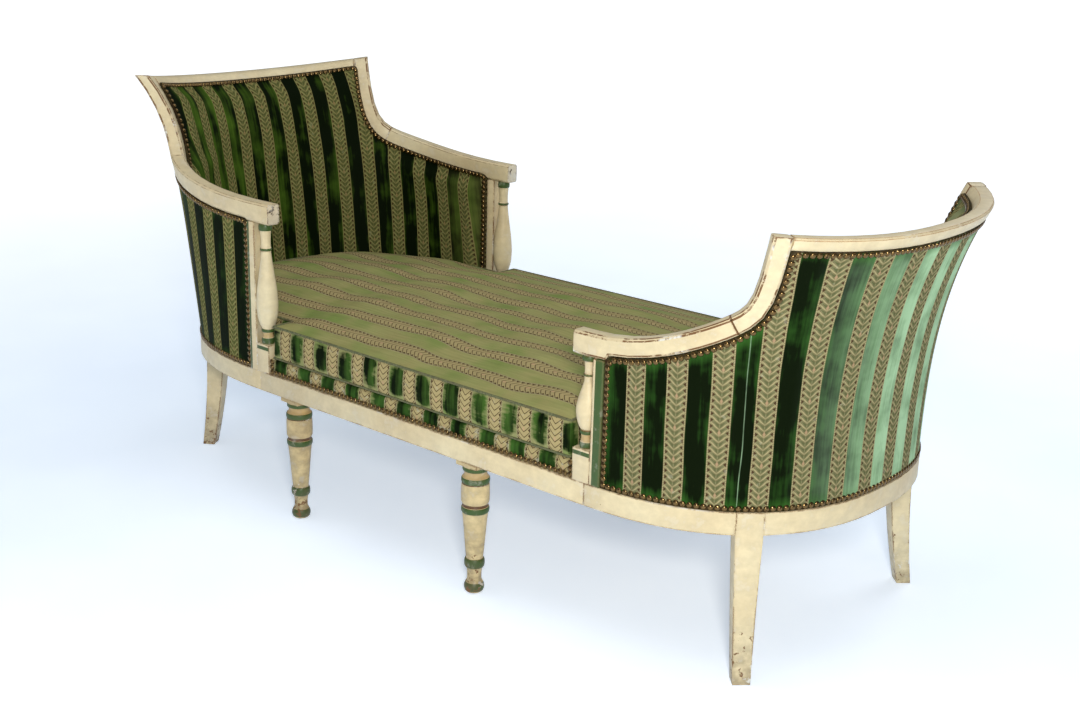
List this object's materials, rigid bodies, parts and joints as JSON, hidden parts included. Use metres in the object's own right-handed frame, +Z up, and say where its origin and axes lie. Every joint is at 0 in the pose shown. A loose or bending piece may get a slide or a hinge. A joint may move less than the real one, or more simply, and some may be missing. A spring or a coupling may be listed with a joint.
{
  "type": "recamier",
  "caption": "Painted wooden recamier with a high curved head end and a lower curved foot end, striped velvet covers, close nailing, turned and sabre legs and a loose mattress.",
  "frame": {"origin": "on the floor under the centre of the overall box, half way along the length and across the width", "axes": "+X towards the lower foot end, -Y towards the side seen from the front, +Z up"},
  "size_m": [1.9954, 0.799, 0.922],
  "materials": {
    "painted_wood": "worn oil paint",
    "bare_wood": "unfinished",
    "striped_velvet": "worn striped velvet and braid",
    "green_piping": "corded",
    "deck_cloth": "plain weave",
    "jute_webbing": "woven strip",
    "nail_bronze": "dark bronzed"
  },
  "bodies": {
    "frame": {"front_side_rail": "painted_wood", "back_side_rail": "painted_wood", "head_rail_front_curve": "painted_wood", "head_rail_back_curve": "painted_wood", "head_end_rail": "painted_wood", "foot_rail_front_curve": "painted_wood", "foot_rail_back_curve": "painted_wood", "foot_end_rail": "painted_wood", "head_cross_stretcher": "bare_wood", "foot_cross_stretcher": "bare_wood", "rail_dowels": "bare_wood", "turned_leg_front_head": "painted_wood", "turned_leg_front_foot": "painted_wood", "turned_leg_back_head": "painted_wood", "turned_leg_back_foot": "painted_wood", "sabre_leg_front_head": "painted_wood", "sabre_leg_back_head": "painted_wood", "sabre_leg_front_foot": "painted_wood", "sabre_leg_back_foot": "painted_wood", "plinth_front_head": "painted_wood", "plinth_back_head": "painted_wood", "plinth_front_foot": "painted_wood", "plinth_back_foot": "painted_wood", "post_front_head": "painted_wood", "post_back_head": "painted_wood", "post_front_foot": "painted_wood", "post_back_foot": "painted_wood", "baluster_front_head": "painted_wood", "baluster_back_head": "painted_wood", "baluster_front_foot": "painted_wood", "baluster_back_foot": "painted_wood", "arm_front_head": "painted_wood", "arm_back_head": "painted_wood", "arm_front_foot": "painted_wood", "arm_back_foot": "painted_wood", "stile_front_head": "painted_wood", "stile_back_head": "painted_wood", "stile_front_foot": "painted_wood", "stile_back_foot": "painted_wood", "head_crest_rail": "painted_wood", "foot_crest_rail": "painted_wood", "upright_front_head": "bare_wood", "upright_back_head": "bare_wood", "upright_front_foot": "bare_wood", "upright_back_foot": "bare_wood", "seat_webbing": "jute_webbing", "seat_deck_pad": "deck_cloth", "seat_band_front": "striped_velvet", "seat_band_back": "striped_velvet", "head_outer_cover": "striped_velvet", "foot_outer_cover": "striped_velvet", "head_inner_pad": "striped_velvet", "foot_inner_pad": "striped_velvet", "head_nail_rows": "nail_bronze", "foot_nail_rows": "nail_bronze", "seat_nail_rows": "nail_bronze"},
    "mattress": {"mattress": "striped_velvet", "mattress_piping": "green_piping"}
  },
  "joints": [
    {"name": "mattress_lift", "type": "slide", "parent": "frame", "child": "mattress", "axis": [0, 0, 1], "range_m": [0, 0.6]}
  ]
}
